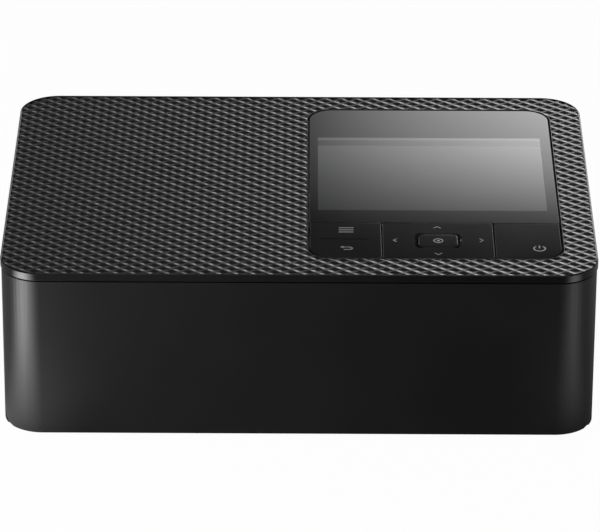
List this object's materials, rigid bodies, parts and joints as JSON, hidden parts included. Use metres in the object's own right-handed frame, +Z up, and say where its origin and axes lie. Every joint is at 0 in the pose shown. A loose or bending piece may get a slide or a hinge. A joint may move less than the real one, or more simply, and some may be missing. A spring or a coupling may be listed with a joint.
{
  "type": "photo printer",
  "caption": "Compact photo printer with a textured lid, a display and keys, a drop-down front door, a side ink door, and the paper drive, ribbon cassette and thermal head inside.",
  "frame": {"origin": "on the table, under the middle of the case", "axes": "+X to the right seen from the front, +Y to the back, +Z up"},
  "size_m": [0.1822, 0.133, 0.0576],
  "materials": {
    "case_plastic": "moulded, satin gloss",
    "lid_plastic": "moulded, gloss band and textured top",
    "key_plastic": "moulded, satin",
    "inner_plastic": "moulded, matte",
    "window_glass": "smoked, polished",
    "lcd_face": "smooth",
    "foot_rubber": "matte",
    "roller_rubber": "ground",
    "zinc_steel": "zinc plated",
    "plate_steel": "galvanised sheet",
    "shaft_steel": "ground and plated",
    "bush_bronze": "sintered",
    "gear_plastic": "moulded acetal",
    "circuit_board": "solder mask",
    "flex_film": "polyimide film",
    "cassette_plastic": "moulded",
    "ribbon_film": "coated film",
    "sink_aluminium": "extruded",
    "head_ceramic": "glazed"
  },
  "bodies": {
    "chassis": {"bottom_cover": "inner_plastic", "rubber_feet": "foot_rubber", "case_screws": "zinc_steel", "body_shell": "case_plastic", "front_bezel": "inner_plastic", "lid_shell": "lid_plastic", "panel_frame": "inner_plastic", "display_window": "window_glass", "lcd_module": "lcd_face", "key_board": "circuit_board", "display_flex": "flex_film", "ink_bay_guide": "inner_plastic", "base_plate": "plate_steel", "side_plate_left": "plate_steel", "side_plate_right": "plate_steel", "roller_bushes": "bush_bronze", "cassette_bay": "inner_plastic", "pinch_bearings": "gear_plastic", "pinch_springs": "shaft_steel", "middle_guide": "inner_plastic", "rear_guide": "inner_plastic", "feed_motor": "plate_steel", "motor_bracket": "plate_steel", "gear_posts": "shaft_steel", "supply_brake": "gear_plastic", "ink_cassette_shell": "cassette_plastic", "ribbon_web": "ribbon_film", "main_board": "circuit_board", "card_socket": "plate_steel", "power_inlet": "inner_plastic"},
    "front_door": {"front_door": "case_plastic", "front_door_pins": "zinc_steel"},
    "ink_door": {"ink_door": "case_plastic", "ink_door_pins": "zinc_steel"},
    "release_lever": {"release_lever": "inner_plastic"},
    "left_key": {"left_key": "key_plastic"},
    "pad_gimbal": {"pad_gimbal": "inner_plastic"},
    "direction_pad": {"direction_pad": "key_plastic"},
    "ok_button": {"ok_button": "key_plastic"},
    "power_key": {"power_key": "key_plastic"},
    "lift_plate": {"lift_plate": "plate_steel"},
    "head": {"head_arm": "plate_steel", "heat_sink": "sink_aluminium", "thermal_head": "head_ceramic"},
    "head_cam": {"head_cam": "gear_plastic"},
    "feed_roller": {"feed_roller": "shaft_steel", "feed_gear": "gear_plastic"},
    "pinch_roller": {"pinch_roller": "roller_rubber"},
    "platen_roller": {"platen_shaft": "shaft_steel", "platen_rubber": "roller_rubber"},
    "pickup_roller": {"pickup_shaft": "shaft_steel", "pickup_tyres": "roller_rubber", "pickup_gear": "gear_plastic"},
    "motor_rotor": {"motor_pinion": "gear_plastic"},
    "big_idler": {"big_idler": "gear_plastic"},
    "takeup_idler": {"takeup_idler": "gear_plastic"},
    "relay_idler": {"relay_idler": "gear_plastic"},
    "takeup_gear": {"takeup_gear": "gear_plastic"},
    "takeup_spool": {"takeup_spool": "ribbon_film"},
    "supply_spool": {"supply_spool": "ribbon_film"}
  },
  "joints": [
    {"name": "front_door_swing", "type": "hinge", "parent": "chassis", "child": "front_door", "pos_m": [0, -0.0615, 0.008], "axis": [1, 0, 0], "range_deg": [0, 90]},
    {"name": "ink_door_swing", "type": "hinge", "parent": "chassis", "child": "ink_door", "pos_m": [0.0897, 0.023, 0.0121], "axis": [0, 1, 0], "range_deg": [0, 90]},
    {"name": "release_lever_lift", "type": "hinge", "parent": "chassis", "child": "release_lever", "pos_m": [0.072, 0.025, 0.0497], "axis": [0, 1, 0], "range_deg": [-5, 0], "stiffness_Nm_per_rad": 0.02},
    {"name": "left_key_rock", "type": "hinge", "parent": "chassis", "child": "left_key", "pos_m": [0.0142, -0.0409, 0.05525], "axis": [1, 0, 0], "range_deg": [-1.4, 1.4], "stiffness_Nm_per_rad": 0.06},
    {"name": "pad_tilt_front_back", "type": "hinge", "parent": "chassis", "child": "pad_gimbal", "pos_m": [0.04265, -0.04165, 0.05402], "axis": [1, 0, 0], "range_deg": [-1.2, 1.2], "stiffness_Nm_per_rad": 0.06},
    {"name": "pad_tilt_left_right", "type": "hinge", "parent": "pad_gimbal", "child": "direction_pad", "pos_m": [0.04265, -0.04165, 0.05532], "axis": [0, 1, 0], "range_deg": [-1, 1], "stiffness_Nm_per_rad": 0.06},
    {"name": "ok_press", "type": "slide", "parent": "direction_pad", "child": "ok_button", "axis": [0, 0, -1], "range_m": [0, 0.0003], "stiffness_N_per_m": 800},
    {"name": "power_press", "type": "slide", "parent": "chassis", "child": "power_key", "axis": [0, 0, -1], "range_m": [0, 0.0003], "stiffness_N_per_m": 800},
    {"name": "lift_plate_raise", "type": "hinge", "parent": "chassis", "child": "lift_plate", "pos_m": [0, -0.0183, 0.0056], "axis": [1, 0, 0], "range_deg": [-8, 0]},
    {"name": "head_lower", "type": "hinge", "parent": "chassis", "child": "head", "pos_m": [0, 0.057, 0.0462], "axis": [1, 0, 0], "range_deg": [0, 3.5]},
    {"name": "cam_turn", "type": "hinge", "parent": "chassis", "child": "head_cam", "pos_m": [-0.068, 0.024, 0.0498], "axis": [1, 0, 0], "range_deg": [-90, 0]},
    {"name": "feed_spin", "type": "hinge", "parent": "chassis", "child": "feed_roller", "pos_m": [0, -0.008, 0.018], "axis": [1, 0, 0], "continuous": true},
    {"name": "pinch_spin", "type": "hinge", "parent": "chassis", "child": "pinch_roller", "pos_m": [0, -0.008, 0.0262], "axis": [1, 0, 0], "continuous": true},
    {"name": "platen_spin", "type": "hinge", "parent": "chassis", "child": "platen_roller", "pos_m": [0, 0.026, 0.016], "axis": [1, 0, 0], "continuous": true},
    {"name": "pickup_spin", "type": "hinge", "parent": "chassis", "child": "pickup_roller", "pos_m": [0, -0.032, 0.036], "axis": [1, 0, 0], "continuous": true},
    {"name": "motor_spin", "type": "hinge", "parent": "chassis", "child": "motor_rotor", "pos_m": [-0.068, 0.01511, 0.03871], "axis": [1, 0, 0], "continuous": true},
    {"name": "big_idler_spin", "type": "hinge", "parent": "chassis", "child": "big_idler", "pos_m": [-0.068, 0.01106, 0.02359], "axis": [1, 0, 0], "continuous": true},
    {"name": "takeup_idler_spin", "type": "hinge", "parent": "chassis", "child": "takeup_idler", "pos_m": [-0.068, 0.03073, 0.02089], "axis": [1, 0, 0], "continuous": true},
    {"name": "relay_idler_spin", "type": "hinge", "parent": "chassis", "child": "relay_idler", "pos_m": [-0.068, -0.0232, 0.02529], "axis": [1, 0, 0], "continuous": true},
    {"name": "takeup_gear_spin", "type": "hinge", "parent": "chassis", "child": "takeup_gear", "pos_m": [-0.068, 0.042, 0.035], "axis": [1, 0, 0], "continuous": true},
    {"name": "takeup_spool_spin", "type": "hinge", "parent": "chassis", "child": "takeup_spool", "pos_m": [0, 0.042, 0.035], "axis": [1, 0, 0], "continuous": true},
    {"name": "supply_spool_spin", "type": "hinge", "parent": "chassis", "child": "supply_spool", "pos_m": [0, 0.008, 0.035], "axis": [1, 0, 0], "continuous": true}
  ],
  "couplings": [
    {"joint": "cam_turn", "follows": "head_lower", "ratio": -25.714},
    {"joint": "pinch_spin", "follows": "feed_spin", "ratio": -1},
    {"joint": "pickup_spin", "follows": "feed_spin", "ratio": 1.5},
    {"joint": "motor_spin", "follows": "feed_spin", "ratio": 1.875},
    {"joint": "big_idler_spin", "follows": "feed_spin", "ratio": -0.83333},
    {"joint": "takeup_idler_spin", "follows": "feed_spin", "ratio": 1},
    {"joint": "relay_idler_spin", "follows": "feed_spin", "ratio": -1.1538},
    {"joint": "takeup_gear_spin", "follows": "feed_spin", "ratio": -1},
    {"joint": "takeup_spool_spin", "follows": "feed_spin", "ratio": -1},
    {"joint": "supply_spool_spin", "follows": "feed_spin", "ratio": -0.69893}
  ]
}
